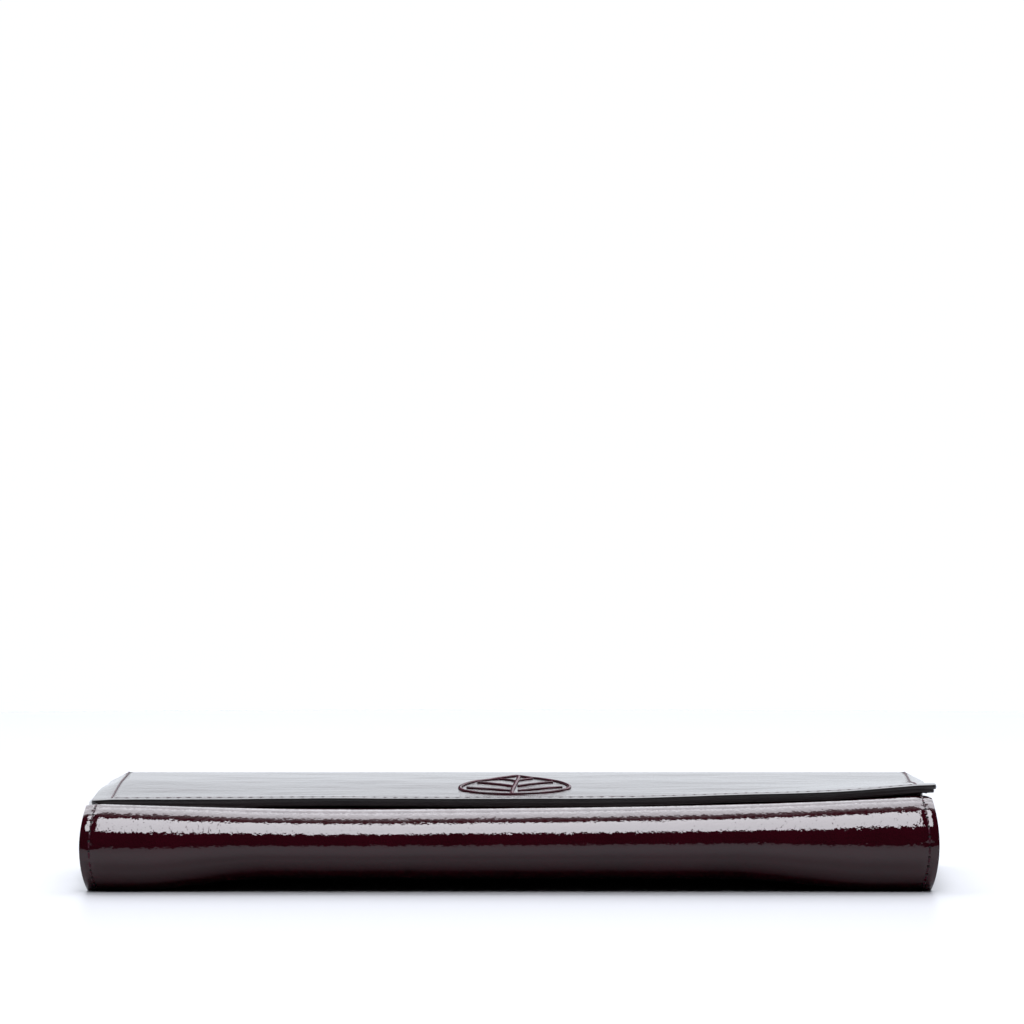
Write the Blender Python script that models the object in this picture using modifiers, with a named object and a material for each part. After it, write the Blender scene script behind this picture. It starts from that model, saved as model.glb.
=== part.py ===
# A long flap wallet, lying on its back panel with the flap closed on top.
# X runs along the wallet, Y from the rolled bottom edge (-Y) to the fold of the flap (+Y), Z is up.
# The origin is under the middle of the closed wallet, on the surface that it lies on.

import math

import bmesh
import bpy
from mathutils import Vector

MM = 0.001

# Driving dimensions
WALLET_WIDTH = 190 * MM
WALLET_DEPTH = 105 * MM
BODY_HEIGHT = 20.2 * MM  # back panel to front panel, over the outside
FLAP_TOP = 22.9 * MM
FLAP_WIDTH = 186 * MM
FLAP_SETBACK = 13.5 * MM  # how far the flap's free edge stops short of the rolled edge
MOUTH = 31.5 * MM  # where the compartments end, towards the fold
OUTER_LEATHER = 0.8 * MM
STIFFENER = 0.3 * MM
LINING = 0.4 * MM
CARD_LEATHER = 0.35 * MM
POCKET_WALL = 0.55 * MM
GUSSET_LEATHER = 0.6 * MM
SEAM_MARGIN = 4.3 * MM  # width of the gusset's flange along the outer leather's edge
SKIN_GAP = 0.1 * MM  # between sheets laid on each other
GLUE_GAP = 0.15 * MM  # between sheets with glue or a fold between them
METAL_GAP = 0.05 * MM  # between a sheet and the metal or the motif set on it
STUD_HOLE_GAP = 0.3 * MM
FOLD_RADIUS = 5.0 * MM  # outer radius of the two folds where the flap turns over

# Places that follow from them
EDGE = WALLET_DEPTH / 2
ROLL_RADIUS = BODY_HEIGHT / 2
ROLL_CENTRE = Vector((0, ROLL_RADIUS - EDGE, ROLL_RADIUS))
PANEL_NEAR = ROLL_CENTRE.y + 0.4 * MM
LINING_NEAR = ROLL_CENTRE.y + 0.6 * MM
BOARD_NEAR = -41 * MM
LINING_FAR = 48 * MM
BACK_BOARD_FAR = 47 * MM
FRONT_BOARD_FAR = MOUTH - 1.5 * MM
FLAP_BOARD_FAR = 46 * MM
FLAP_BOARD_INSET = 4 * MM
FLAP_NEAR = FLAP_SETBACK - EDGE
LINED_WIDTH = WALLET_WIDTH - 2 * (SEAM_MARGIN + 1.7 * MM)
FRONT_LOW = BODY_HEIGHT - OUTER_LEATHER
FLAP_LOW = FLAP_TOP - OUTER_LEATHER

# The leather flattens about a point just inside each fold's middle
FOLD_MIDDLE = FOLD_RADIUS - OUTER_LEATHER / 2
FOLD_PIVOT_Y = EDGE - FOLD_RADIUS + math.pi / 4 * FOLD_MIDDLE
FOLD_PIVOT_RISE = OUTER_LEATHER / 2 + (1 - math.pi / 4) * FOLD_MIDDLE
SPINE_HINGE = Vector((0, FOLD_PIVOT_Y, FOLD_PIVOT_RISE))
FLAP_HINGE = Vector((0, FOLD_PIVOT_Y, FLAP_TOP - FOLD_PIVOT_RISE))
FOLD_CLEARANCE = 0.1 * MM
PANEL_FAR = FOLD_PIVOT_Y - FOLD_CLEARANCE
FRONT_HINGE = Vector((0, ROLL_CENTRE.y + 0.2 * MM, BODY_HEIGHT - 0.2 * MM))

# Flat pockets: near edge and mouth of each, from the deepest row to the shallowest
POCKET_WIDTH = 177 * MM  # two columns, each wide enough for a bank card between its seams
CARD_ROWS = (
    ("rear", -12 * MM, 24 * MM),
    ("middle", -22 * MM, 14 * MM),
    ("front", -38 * MM, 4 * MM),
)
SLIP_NEAR = -38 * MM
SLIP_MOUTH = 18 * MM

# Zipped pocket, between the two note compartments
COIN_WIDTH = 174 * MM
COIN_NEAR = -40 * MM
COIN_LOW = 7.85 * MM
COIN_HIGH = 13.15 * MM
ZIP_HEIGHT = (COIN_LOW + COIN_HIGH) / 2
ZIP_Y = 30.9 * MM
ZIP_LENGTH = 159 * MM
TOOTH_PITCH = 3 * MM
TOOTH_THICKNESS = 1.4 * MM
SLIDER_X = -74 * MM
PULLER_PIVOT = Vector((SLIDER_X, ZIP_Y + 2.6 * MM, ZIP_HEIGHT))

# Press stud, on the wallet's centre line
STUD_Y = -18 * MM
STUD_FLANGE_RADIUS = 5.5 * MM
NIPPLE_RADIUS = 1.9 * MM
POST_RADIUS = 1.2 * MM
SOCKET_BARREL_RADIUS = 3.6 * MM
STUD_FLANGE = 0.25 * MM
NIPPLE_HEIGHT = 1.1 * MM
SOCKET_FLANGE = 0.3 * MM
SOCKET_CROWN = 0.2 * MM
CLENCH_WASHER = 0.3 * MM
HOLE_DEPTH = 5 * MM  # of a cutter, well through any sheet

# Decoration on the flap
MOTIF_Y = 2 * MM
MOTIF_THICKNESS = 0.5 * MM
LEAF_HALF_WIDTH = 13 * MM
LEAF_HALF_LENGTH = 29 * MM
LEAF_RIB = 1.6 * MM
LEAF_TAPER = 0.6
LEAF_WIDEST = 0.74  # largest value of the untapered outline, which scales it to the half width

PANEL_CORNER = 2 * MM
FLAP_CORNER = 1.5 * MM
POCKET_CORNER = 1 * MM
CORNER_STEPS = 4
ROLL_STEPS = 24
TURN_STEPS = 32
WELD_DISTANCE = 0.001 * MM

PATENT = ("patent_leather", (0.16, 0.006, 0.028), 0.12, 0.0)
LINING_LEATHER = ("lining_leather", (0.02, 0.018, 0.02), 0.55, 0.0)
BOARD = ("board", (0.35, 0.3, 0.24), 0.9, 0.0)
TAPE = ("zip_tape", (0.02, 0.02, 0.022), 0.9, 0.0)
METAL = ("gold_metal", (0.83, 0.62, 0.3), 0.25, 1.0)


def clear_scene():
    for obj in list(bpy.data.objects):
        bpy.data.objects.remove(obj)


def make_collection(name):
    collection = bpy.data.collections.new(name)
    bpy.context.scene.collection.children.link(collection)
    return collection


def make_material(name, colour, roughness, metallic):
    material = bpy.data.materials.get(name) or bpy.data.materials.new(name)
    material.use_nodes = True
    shader = material.node_tree.nodes["Principled BSDF"]
    shader.inputs["Base Color"].default_value = (*colour, 1)
    shader.inputs["Roughness"].default_value = roughness
    shader.inputs["Metallic"].default_value = metallic
    return material


def add_object(name, data, finish, location=(0, 0, 0), rotation=(0, 0, 0)):
    obj = bpy.data.objects.new(name, data)
    obj.location = location
    obj.rotation_euler = rotation
    data.materials.append(make_material(*finish))
    parts.objects.link(obj)
    return obj


def add_shape(name, shape, finish, location):
    mesh = bpy.data.meshes.new(name)
    shape.to_mesh(mesh)
    shape.free()
    return add_object(name, mesh, finish, location)


def make_cutter(obj):
    """Keeps a helper solid out of the model and in its own collection."""
    parts.objects.unlink(obj)
    cutters.objects.link(obj)
    obj.hide_render = True
    obj.display_type = "WIRE"
    return obj


def combine(part, helper, operation):
    boolean = part.modifiers.new(operation.lower(), "BOOLEAN")
    boolean.operation = operation
    boolean.solver = "EXACT"
    boolean.object = make_cutter(helper)


def box(name, size, centre, finish, corner=0.0):
    """A block, whose upright edges can be rounded."""
    shape = bmesh.new()
    bmesh.ops.create_cube(shape, size=1.0)
    bmesh.ops.scale(shape, vec=size, verts=shape.verts)
    if corner:
        upright = [e for e in shape.edges if abs(e.verts[0].co.z - e.verts[1].co.z) > size[2] / 2]
        bmesh.ops.bevel(
            shape, geom=upright, offset=corner, segments=CORNER_STEPS, profile=0.5, affect="EDGES"
        )
    return add_shape(name, shape, finish, centre)


def sheet(name, width, near, far, low, thickness, finish, corner=0.0):
    """A flat piece lying in XY, centred on the wallet's middle."""
    size = (width, far - near, thickness)
    centre = (0, (near + far) / 2, low + thickness / 2)
    return box(name, size, centre, finish, corner)


def drill(part, radius, centre, depth):
    """Cuts a round upright hole through a part."""
    shape = bmesh.new()
    bmesh.ops.create_cone(
        shape, cap_ends=True, segments=TURN_STEPS, radius1=radius, radius2=radius, depth=depth
    )
    combine(part, add_shape(f"hole_in_{part.name}", shape, BOARD, centre), "DIFFERENCE")


def turned(name, profile, centre, finish, closed=False):
    """Turns (radius, height) points round the upright axis through centre, outer side downwards."""
    edges = [(i, i + 1) for i in range(len(profile) - 1)]
    if closed:
        edges.append((len(profile) - 1, 0))
    mesh = bpy.data.meshes.new(name)
    mesh.from_pydata([(radius, 0, height) for radius, height in profile], edges, [])
    obj = add_object(name, mesh, finish, centre)
    screw = obj.modifiers.new("turn", "SCREW")
    screw.axis = "Z"
    screw.steps = screw.render_steps = TURN_STEPS
    screw.use_merge_vertices = True
    screw.merge_threshold = WELD_DISTANCE
    return obj


def washer(name, outer, inner, low, high, finish):
    """A flat ring on the press stud's axis."""
    profile = [(outer, high), (outer, low), (inner, low), (inner, high)]
    return turned(name, profile, (0, STUD_Y, 0), finish, closed=True)


def axis_empty(name, place):
    """Marks a joint's axis, for the pieces that move about it."""
    empty = bpy.data.objects.new(name, None)
    empty.location = place
    parts.objects.link(empty)
    bpy.context.view_layer.update()
    return empty


def attach(empty, *pieces):
    bpy.context.view_layer.update()
    for piece in pieces:
        piece.parent = empty
        piece.matrix_parent_inverse = empty.matrix_world.inverted()


def half_round_sheet(name, radius, thickness, width, finish):
    """A sheet wrapped half way round the roll's centre, on the -Y side, its outer face at radius."""
    angles = [math.pi * (0.5 + step / ROLL_STEPS) for step in range(ROLL_STEPS + 1)]
    shape = bmesh.new()
    rim = [shape.verts.new((-width / 2, radius * math.cos(a), radius * math.sin(a))) for a in angles]
    edges = [shape.edges.new(pair) for pair in zip(rim, rim[1:])]
    swept = bmesh.ops.extrude_edge_only(shape, edges=edges)["geom"]
    moved = [v for v in swept if isinstance(v, bmesh.types.BMVert)]
    bmesh.ops.translate(shape, vec=(width, 0, 0), verts=moved)
    bmesh.ops.recalc_face_normals(shape, faces=shape.faces)
    outward = sum(face.normal.y for face in shape.faces) < 0
    if not outward:
        bmesh.ops.reverse_faces(shape, faces=shape.faces)
    obj = add_shape(name, shape, finish, ROLL_CENTRE)
    obj.data.shade_smooth()
    solidify = obj.modifiers.new("thickness", "SOLIDIFY")
    solidify.thickness = thickness
    solidify.offset = -1
    solidify.use_even_offset = True
    return obj


def make_body():
    """Back panel, rolled bottom edge, their lining and the card pockets on the back."""
    sheet(
        "outer_back_panel", WALLET_WIDTH, PANEL_NEAR, PANEL_FAR, 0, OUTER_LEATHER, PATENT, PANEL_CORNER
    )
    half_round_sheet("outer_bottom_roll", ROLL_RADIUS, OUTER_LEATHER, WALLET_WIDTH, PATENT)
    board_low = OUTER_LEATHER + SKIN_GAP
    sheet(
        "back_stiffener", LINED_WIDTH, BOARD_NEAR, BACK_BOARD_FAR, board_low, STIFFENER, BOARD, PANEL_CORNER
    )
    lining_low = board_low + STIFFENER + SKIN_GAP
    sheet(
        "back_lining", LINED_WIDTH, LINING_NEAR, LINING_FAR, lining_low, LINING, LINING_LEATHER, PANEL_CORNER
    )
    roll_lining_radius = ROLL_RADIUS - OUTER_LEATHER - GLUE_GAP
    half_round_sheet("roll_lining", roll_lining_radius, LINING, LINED_WIDTH, LINING_LEATHER)
    low = lining_low + LINING + SKIN_GAP
    for row, near, far in CARD_ROWS:
        name = f"card_pocket_{row}_row"
        sheet(name, POCKET_WIDTH, near, far, low, CARD_LEATHER, LINING_LEATHER, POCKET_CORNER)
        low += CARD_LEATHER + GLUE_GAP


def make_gusset(name, side):
    """A pleated side wall: a flange along the panels and the roll, and a web folded in at mid height."""
    radius = ROLL_RADIUS - OUTER_LEATHER - GLUE_GAP - SKIN_GAP - GUSSET_LEATHER / 2
    web_x = WALLET_WIDTH / 2 - SEAM_MARGIN
    pleat = 3 * MM
    # (share of the radius, distance in from the flange) from the flange's free edge to the middle
    sections = [(1, GUSSET_LEATHER - SEAM_MARGIN), (1, 0), (0.62, pleat / 6), (0.32, pleat), (0, pleat)]
    mouth = Vector((MOUTH, ROLL_CENTRE.z))
    centre = Vector((ROLL_CENTRE.y, ROLL_CENTRE.z))
    stations = [(mouth, 0.5 * math.pi)]
    turns = 12
    stations += [(centre, math.pi * (0.5 + step / turns)) for step in range(turns + 1)]
    stations.append((mouth, 1.5 * math.pi))
    shape = bmesh.new()
    rows = []
    for middle, angle in stations:
        row = []
        for share, inset in sections:
            reach = radius * share
            y = middle.x + (0 if middle == mouth else reach * math.cos(angle))
            z = middle.y + reach * math.sin(angle)
            row.append(shape.verts.new((side * (web_x - inset), y, z)))
        rows.append(row)
    for first, second in zip(rows, rows[1:]):
        for i in range(len(sections) - 1):
            shape.faces.new((first[i], first[i + 1], second[i + 1], second[i]))
    bmesh.ops.remove_doubles(shape, verts=shape.verts, dist=WELD_DISTANCE)
    bmesh.ops.dissolve_degenerate(shape, dist=WELD_DISTANCE, edges=shape.edges)
    bmesh.ops.recalc_face_normals(shape, faces=shape.faces)
    obj = add_shape(name, shape, PATENT, (0, 0, 0))
    solidify = obj.modifiers.new("thickness", "SOLIDIFY")
    solidify.thickness = GUSSET_LEATHER
    solidify.offset = 0
    solidify.use_even_offset = True
    return obj


def make_front():
    """Front panel with its stiffener, lining, slip pocket and the fixed half of the press stud."""
    outer = sheet(
        "outer_front_panel", WALLET_WIDTH, PANEL_NEAR, MOUTH, FRONT_LOW, OUTER_LEATHER, PATENT, PANEL_CORNER
    )
    drill(outer, POST_RADIUS + STUD_HOLE_GAP, (0, STUD_Y, FRONT_LOW), HOLE_DEPTH)
    board_low = FRONT_LOW - SKIN_GAP - LINING
    board = sheet(
        "front_stiffener", LINED_WIDTH, BOARD_NEAR, FRONT_BOARD_FAR, board_low, LINING, BOARD, PANEL_CORNER
    )
    drill(board, STUD_FLANGE_RADIUS + STUD_HOLE_GAP, (0, STUD_Y, board_low), HOLE_DEPTH)
    lining_low = board_low - GLUE_GAP - LINING
    lining = sheet(
        "front_lining", LINED_WIDTH, LINING_NEAR, MOUTH, lining_low, LINING, LINING_LEATHER, PANEL_CORNER
    )
    slip_low = lining_low - GLUE_GAP - LINING
    slip_name = "front_slip_pocket"
    slip = sheet(
        slip_name, POCKET_WIDTH, SLIP_NEAR, SLIP_MOUTH, slip_low, LINING, LINING_LEATHER, POCKET_CORNER
    )
    flange_low = BODY_HEIGHT + METAL_GAP
    flange_high = flange_low + STUD_FLANGE
    nipple_top = flange_high + NIPPLE_HEIGHT
    stud = turned(
        "snap_stud",
        [
            (0, nipple_top),
            (NIPPLE_RADIUS - 0.5 * MM, nipple_top),
            (NIPPLE_RADIUS, nipple_top - 0.4 * MM),
            (NIPPLE_RADIUS - 0.2 * MM, flange_high),
            (STUD_FLANGE_RADIUS - 0.2 * MM, flange_high),
            (STUD_FLANGE_RADIUS, flange_low),
            (POST_RADIUS, flange_low),
            (POST_RADIUS, board_low),
            (0, board_low),
        ],
        (0, STUD_Y, 0),
        METAL,
    )
    clench = washer(
        "snap_stud_washer",
        STUD_FLANGE_RADIUS - 0.5 * MM,
        POST_RADIUS + GLUE_GAP,
        board_low,
        board_low + CLENCH_WASHER,
        METAL,
    )
    attach(axis_empty("front_axis", FRONT_HINGE), outer, board, lining, slip, stud, clench)


def make_coin_pocket():
    """Zipped pocket: two walls, three closed edges and the zip across its mouth."""
    inner_low = COIN_LOW + POCKET_WALL
    inner_high = COIN_HIGH - POCKET_WALL
    depth = MOUTH - COIN_NEAR
    middle = (MOUTH + COIN_NEAR) / 2
    edge_height = inner_high - inner_low - 2 * SKIN_GAP
    walls = [
        sheet(name, COIN_WIDTH, COIN_NEAR, MOUTH, low, POCKET_WALL, LINING_LEATHER, POCKET_CORNER)
        for name, low in (("coin_pocket_rear_wall", COIN_LOW), ("coin_pocket_front_wall", inner_high))
    ]
    for name, side in (("coin_pocket_left_edge", -1), ("coin_pocket_right_edge", 1)):
        size = (POCKET_WALL, depth - 2 * MM, edge_height)
        x = side * (COIN_WIDTH - POCKET_WALL) / 2
        walls.append(box(name, size, (x, middle, ZIP_HEIGHT), LINING_LEATHER))
    size = (COIN_WIDTH - 4 * POCKET_WALL, POCKET_WALL, edge_height)
    centre = (0, COIN_NEAR + POCKET_WALL / 2, ZIP_HEIGHT)
    walls.append(box("coin_pocket_bottom_edge", size, centre, LINING_LEATHER))
    pocket_axis = axis_empty("coin_pocket_axis", FRONT_HINGE)
    attach(pocket_axis, *walls, *make_zip(inner_low, inner_high))
    return pocket_axis


def tooth_row(name, side):
    """A row of zip teeth as one comb, its tips towards the zip's middle."""
    root, neck, tip = 1.1 * MM, 0.75 * MM, 0.4 * MM
    count = round(ZIP_LENGTH / TOOTH_PITCH)
    outline = [(-ZIP_LENGTH / 2, side * root)]
    for tooth in range(count):
        start = -ZIP_LENGTH / 2 + tooth * TOOTH_PITCH
        steps = ((0.0, neck), (0.2, tip), (0.55, tip), (0.75, neck))
        outline += [(start + share * TOOTH_PITCH, side * height) for share, height in steps]
    outline += [(ZIP_LENGTH / 2, side * neck), (ZIP_LENGTH / 2, side * root)]
    return flat_outline(name, [outline], TOOTH_THICKNESS, METAL, (0, ZIP_Y, ZIP_HEIGHT), upright=True)


def flat_outline(name, outlines, thickness, finish, location, upright=False):
    """A flat piece cut to an outline and its holes, lying in XY or, if upright, standing in XZ."""
    curve = bpy.data.curves.new(name, "CURVE")
    curve.dimensions = "2D"
    curve.fill_mode = "BOTH"
    curve.extrude = thickness / 2
    for outline in outlines:
        spline = curve.splines.new("POLY")
        spline.points.add(len(outline) - 1)
        for point, (x, y) in zip(spline.points, outline):
            point.co = (x, y, 0, 1)
        spline.use_cyclic_u = True
    rotation = (math.pi / 2 if upright else 0, 0, 0)
    return add_object(name, curve, finish, location, rotation)


def make_zip(inner_low, inner_high):
    """Tapes, teeth and end stops, across the mouth of the zipped pocket."""
    pieces = []
    tape_thickness = 0.4 * MM
    tape_inner = 1.2 * MM
    tape_outer = (inner_high - inner_low) / 2 - SKIN_GAP
    for name, side in (("zip_tape_rear", -1), ("zip_tape_front", 1)):
        size = (COIN_WIDTH - 4 * POCKET_WALL, tape_thickness, tape_outer - tape_inner)
        z = ZIP_HEIGHT + side * (tape_inner + tape_outer) / 2
        pieces.append(box(name, size, (0, ZIP_Y, z), TAPE))
    pieces.append(tooth_row("zip_teeth_rear", -1))
    pieces.append(tooth_row("zip_teeth_front", 1))
    stop_x = ZIP_LENGTH / 2 + 1.3 * MM
    for name, side in (("zip_top_stop", -1), ("zip_bottom_stop", 1)):
        size = (1.8 * MM, TOOTH_THICKNESS, 2.2 * MM)
        pieces.append(box(name, size, (side * stop_x, ZIP_Y, ZIP_HEIGHT), METAL))
    return pieces


def make_slider(pocket_axis):
    """The zip's slider: a plate on each side of the teeth, a thin post between the rows, and a bridge."""
    plate = 0.8 * MM
    channel = TOOTH_THICKNESS / 2 + 0.3 * MM
    length = 8.5 * MM
    outer_y = ZIP_Y + channel + plate / 2
    inner_y = ZIP_Y - channel - plate / 2
    slider = box("zip_slider", (length, plate, 5.6 * MM), (SLIDER_X, outer_y, ZIP_HEIGHT), METAL)
    overlap = 0.2 * MM
    post_size = (3 * MM, 2 * channel + 2 * overlap, 0.4 * MM)
    post = box("slider_post", post_size, (SLIDER_X, ZIP_Y, ZIP_HEIGHT), METAL)
    inner_size = (length, plate, 3.6 * MM)
    inner = box("slider_inner_plate", inner_size, (SLIDER_X, inner_y, ZIP_HEIGHT), METAL)
    plate_top = outer_y + plate / 2
    bridge_height = 2.2 * MM
    bridge_size = (6 * MM, bridge_height + overlap, 1.8 * MM)
    bridge_y = plate_top + (bridge_height - overlap) / 2
    bridge = box("slider_bridge", bridge_size, (SLIDER_X, bridge_y, ZIP_HEIGHT), METAL)
    eye_size = (4 * MM, 1.4 * MM, 3 * MM)
    eye = box("slider_eye", eye_size, (SLIDER_X, plate_top + 0.7 * MM, ZIP_HEIGHT), METAL)
    combine(bridge, eye, "DIFFERENCE")
    for helper in (post, inner, bridge):
        combine(slider, helper, "UNION")
    slider_axis = axis_empty("slider_axis", (SLIDER_X, ZIP_Y, ZIP_HEIGHT))
    attach(slider_axis, slider)
    attach(pocket_axis, slider_axis)
    return slider_axis


def make_puller(slider_axis):
    """A wire link through the slider's bridge and a leather tab on it, folded flat along the zip."""
    wire = 0.45 * MM
    reach = 5.5 * MM
    half = 2.0 * MM
    corner = 0.7 * MM
    curve = bpy.data.curves.new("zip_puller_link", "CURVE")
    curve.dimensions = "3D"
    curve.bevel_depth = wire
    curve.bevel_resolution = 2
    outline = []
    middles = ((reach, half, 0), (0, half, 1), (0, -half, 2), (reach, -half, 3))
    for x, z, quarter in middles:
        inward = Vector((-corner if x else corner, -corner if z > 0 else corner))
        for step in range(4):
            angle = math.pi / 2 * (quarter + step / 3)
            outline.append(
                (x + inward.x + corner * math.cos(angle), 0, z + inward.y + corner * math.sin(angle))
            )
    spline = curve.splines.new("POLY")
    spline.points.add(len(outline) - 1)
    for point, place in zip(spline.points, outline):
        point.co = (*place, 1)
    spline.use_cyclic_u = True
    link = add_object("zip_puller_link", curve, METAL, PULLER_PIVOT)

    tab_thickness = 1.2 * MM
    tab_start, tab_end = reach + 1.2 * MM, 15.3 * MM
    tab_centre = PULLER_PIVOT + Vector(((tab_start + tab_end) / 2, 0, 0))
    tab_size = (tab_end - tab_start, tab_thickness, 5.2 * MM)
    tab = box("zip_puller_tab", tab_size, tab_centre, PATENT)
    eye_size = (3 * MM, tab_thickness, 2.2 * MM)
    eye = box("tab_eye", eye_size, PULLER_PIVOT + Vector((reach + 0.1 * MM, 0, 0)), PATENT)
    combine(tab, eye, "UNION")
    drill(tab, wire + 0.12 * MM, PULLER_PIVOT + Vector((reach, 0, 0)), 6 * MM)
    puller_axis = axis_empty("puller_axis", PULLER_PIVOT)
    attach(puller_axis, link, tab)
    attach(slider_axis, puller_axis)


def make_spine():
    """The upright strip behind the compartments, between the two folds, with its lining."""
    low, high = FOLD_PIVOT_RISE, FLAP_TOP - FOLD_PIVOT_RISE
    height, middle = high - low, (high + low) / 2
    outer_size = (FLAP_WIDTH, OUTER_LEATHER, height)
    outer = box("outer_spine", outer_size, (0, EDGE - OUTER_LEATHER / 2, middle), PATENT)
    hollow = 0.35 * MM
    lining_y = EDGE - OUTER_LEATHER - hollow - LINING / 2
    lining = box("spine_lining", (LINED_WIDTH, LINING, height), (0, lining_y, middle), LINING_LEATHER)
    spine_axis = axis_empty("spine_axis", SPINE_HINGE)
    attach(spine_axis, outer, lining)
    return spine_axis


def leaf_outlines():
    """A broad leaf with its base towards -Y: its rim, and the hole on each side of its midrib."""
    steps = 36

    def rim_point(step):
        angle = math.pi * step / steps
        taper = (0.5 + 0.5 * math.cos(angle)) ** LEAF_TAPER
        return LEAF_HALF_WIDTH * math.sin(angle) * taper / LEAF_WIDEST, -LEAF_HALF_LENGTH * math.cos(angle)

    right = [rim_point(step) for step in range(steps + 1)]
    left = [(-x, y) for x, y in reversed(right[1:-1])]
    inner = [(x - LEAF_RIB, y) for x, y in right if x > 1.6 * LEAF_RIB]
    inner = [(LEAF_RIB / 2, inner[0][1])] + inner + [(LEAF_RIB / 2, inner[-1][1])]
    return [right + left, inner, [(-x, y) for x, y in inner]]


def make_flap(spine_axis):
    """Flap leather, stiffener and lining, the moving half of the press stud, and the motif."""
    outer = sheet(
        "outer_flap", FLAP_WIDTH, FLAP_NEAR, PANEL_FAR, FLAP_LOW, OUTER_LEATHER, PATENT, FLAP_CORNER
    )
    board_width = FLAP_WIDTH - 2 * FLAP_BOARD_INSET
    board_near = FLAP_NEAR + FLAP_BOARD_INSET
    board_low = FLAP_LOW - GLUE_GAP - LINING
    board = sheet(
        "flap_stiffener", board_width, board_near, FLAP_BOARD_FAR, board_low, LINING, BOARD, PANEL_CORNER
    )
    drill(board, STUD_FLANGE_RADIUS + 2 * STUD_HOLE_GAP, (0, STUD_Y, board_low), HOLE_DEPTH)
    lining_low = board_low - GLUE_GAP - LINING
    lining = sheet(
        "flap_lining", FLAP_WIDTH, FLAP_NEAR, LINING_FAR, lining_low, LINING, LINING_LEATHER, FLAP_CORNER
    )
    drill(lining, SOCKET_BARREL_RADIUS + STUD_HOLE_GAP, (0, STUD_Y, lining_low), HOLE_DEPTH)
    bore = NIPPLE_RADIUS + STUD_HOLE_GAP
    flange_high = lining_low - METAL_GAP
    flange_low = flange_high - SOCKET_FLANGE
    socket_top = FLAP_LOW - GLUE_GAP
    socket = turned(
        "snap_socket",
        [
            (0, socket_top),
            (SOCKET_BARREL_RADIUS, socket_top),
            (SOCKET_BARREL_RADIUS, flange_high),
            (STUD_FLANGE_RADIUS, flange_high),
            (STUD_FLANGE_RADIUS - 0.2 * MM, flange_low),
            (bore, flange_low),
            (bore, socket_top - SOCKET_CROWN),
            (0, socket_top - SOCKET_CROWN),
        ],
        (0, STUD_Y, 0),
        METAL,
    )
    clench = washer(
        "snap_socket_washer",
        STUD_FLANGE_RADIUS + 0.2 * MM,
        SOCKET_BARREL_RADIUS + 0.2 * MM,
        board_low + METAL_GAP,
        board_low + METAL_GAP + CLENCH_WASHER,
        METAL,
    )
    motif_place = (0, MOTIF_Y, FLAP_TOP + METAL_GAP + MOTIF_THICKNESS / 2)
    motif = flat_outline("flap_motif", leaf_outlines(), MOTIF_THICKNESS, PATENT, motif_place)
    flap_axis = axis_empty("flap_axis", FLAP_HINGE)
    attach(flap_axis, outer, board, lining, socket, clench, motif)
    attach(spine_axis, flap_axis)


clear_scene()
parts = make_collection("long_wallet")
cutters = make_collection("cutters")
make_body()
make_gusset("left_gusset", -1)
make_gusset("right_gusset", 1)
make_front()
coin_pocket_axis = make_coin_pocket()
make_puller(make_slider(coin_pocket_axis))
make_flap(make_spine())
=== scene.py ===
import math

import bmesh
import bpy
import numpy as np
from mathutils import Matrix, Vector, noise


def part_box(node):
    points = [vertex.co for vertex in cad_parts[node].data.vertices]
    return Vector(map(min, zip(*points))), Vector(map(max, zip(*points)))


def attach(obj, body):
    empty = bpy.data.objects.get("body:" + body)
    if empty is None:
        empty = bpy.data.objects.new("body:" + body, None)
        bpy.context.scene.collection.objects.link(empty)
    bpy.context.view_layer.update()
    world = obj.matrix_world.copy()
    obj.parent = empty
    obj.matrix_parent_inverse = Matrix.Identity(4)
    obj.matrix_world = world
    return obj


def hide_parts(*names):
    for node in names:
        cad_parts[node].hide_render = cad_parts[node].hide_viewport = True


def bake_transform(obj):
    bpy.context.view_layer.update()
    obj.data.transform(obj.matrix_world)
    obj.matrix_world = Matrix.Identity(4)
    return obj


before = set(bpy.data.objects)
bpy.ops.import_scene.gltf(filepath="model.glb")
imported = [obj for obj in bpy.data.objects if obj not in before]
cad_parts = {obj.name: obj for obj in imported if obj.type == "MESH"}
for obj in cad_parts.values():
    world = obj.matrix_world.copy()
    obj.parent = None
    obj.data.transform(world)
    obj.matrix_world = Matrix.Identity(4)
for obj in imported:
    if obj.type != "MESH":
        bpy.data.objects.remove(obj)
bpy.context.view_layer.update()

# Long flap wallet in crinkled patent leather. Shapes are worked out in millimetres.
mm = 0.001


def cornersOf(node):
    low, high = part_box(node)
    return low / mm, high / mm


rollLow, rollHigh = cornersOf("outer_bottom_roll")
frontHigh = cornersOf("outer_front_panel")[1]
flapLow, flapHigh = cornersOf("outer_flap")
spineHigh = cornersOf("outer_spine")[1]

wallet = {
    "leather": 0.9,  # thickness of the outer leather
    "rollHeights": ((-95, 19.7), (-46, 18.4), (0, 18.6), (60, 19.7), (95, 21.1)),  # crest, along X
    "lift": 2.3,  # how far the middle of the underside stands off the table
    "leftRise": (-84, -54),  # where the underside leaves the table, along X
    "rightRise": (48, 84),
    "liftFade": (-32, 15),  # where the back panel comes down to the table again, along Y
    "tuck": (1.0, 3.2),  # how far the roll's underside turns in, at the ends and in the lifted middle
    "tuckFade": 25,
    "endFlare": 0.016,  # how much the ends draw in above and below the middle of the roll
    "flareFade": (-30, 5),
    "seamInset": 2.15,  # from the leather's side edge to its seam
    "seamDip": (0.2, 0.8),  # depth and half width of the groove that the end seams lie in
    "seamTurn": 0.12,  # how fast the leather turns in outside them
    "pucker": (0.065, 1.1),  # how deep and how wide the seams' stitches pull the leather
    "foldRadius": 5.0,
    "belly": 0.5,  # how far the middle of the spine sinks in
}
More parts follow.
